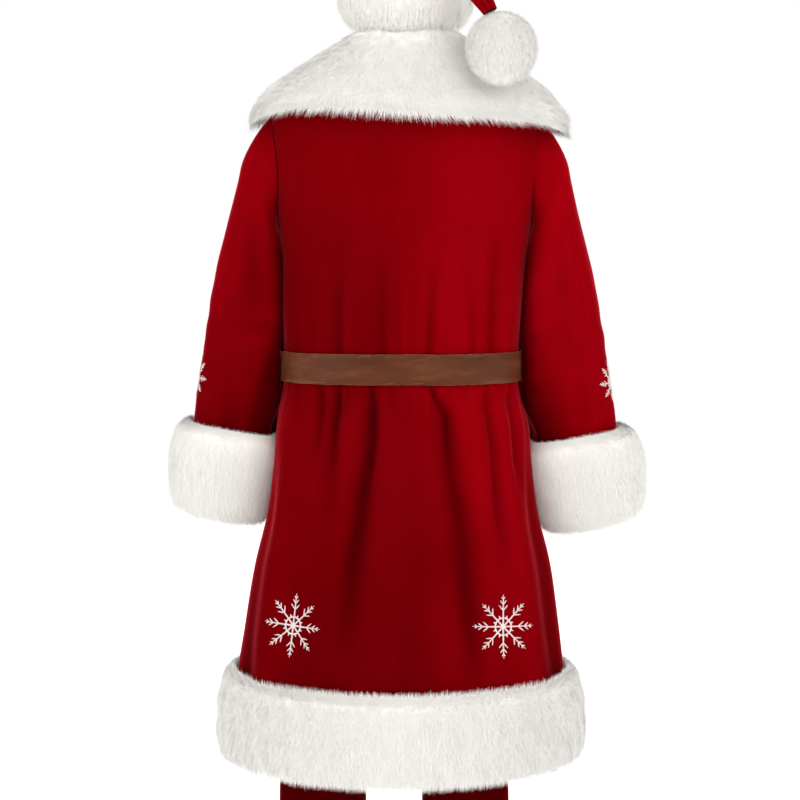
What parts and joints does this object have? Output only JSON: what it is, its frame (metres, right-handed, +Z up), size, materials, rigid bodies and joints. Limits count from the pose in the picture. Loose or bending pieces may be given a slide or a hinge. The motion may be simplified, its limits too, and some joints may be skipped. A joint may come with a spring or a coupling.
{
  "type": "santa suit",
  "caption": "Worn Santa suit: long red velvet coat with white fur collar, cuffs and hem, brown leather belt, trousers and a hat with a pompom.",
  "frame": {"origin": "inside the coat's neckline, level with the shoulders that carry it, on the coat's middle", "axes": "+Z up, the front faces -Y, +X to the wearer's left"},
  "size_m": [0.7788, 0.4777, 1.7772],
  "materials": {
    "velvet": "deep red velvet, short pile, soft sheen",
    "fur": "creamy white long-pile fur",
    "leather": "plain brown leather, worn at the edges",
    "brass": "satin brass"
  },
  "bodies": {
    "root": {"coat_back_left": "velvet", "coat_back_right": "velvet", "coat_front_left": "velvet", "coat_front_right": "velvet", "sleeve_left_top": "velvet", "sleeve_left_under": "velvet", "sleeve_right_top": "velvet", "sleeve_right_under": "velvet", "trousers_back_left": "velvet", "trousers_back_right": "velvet", "trousers_front_left": "velvet", "trousers_front_right": "velvet", "waistband": "velvet", "hat_crown": "velvet", "collar": "fur", "cuff_left": "fur", "cuff_right": "fur", "hem_band_back": "fur", "hem_band_left": "fur", "hem_band_right": "fur", "hat_brim": "fur", "pompom": "fur", "belt_left": "leather", "belt_right": "leather", "buckle_frame": "brass", "buckle_prong": "brass"}
  },
  "joints": []
}
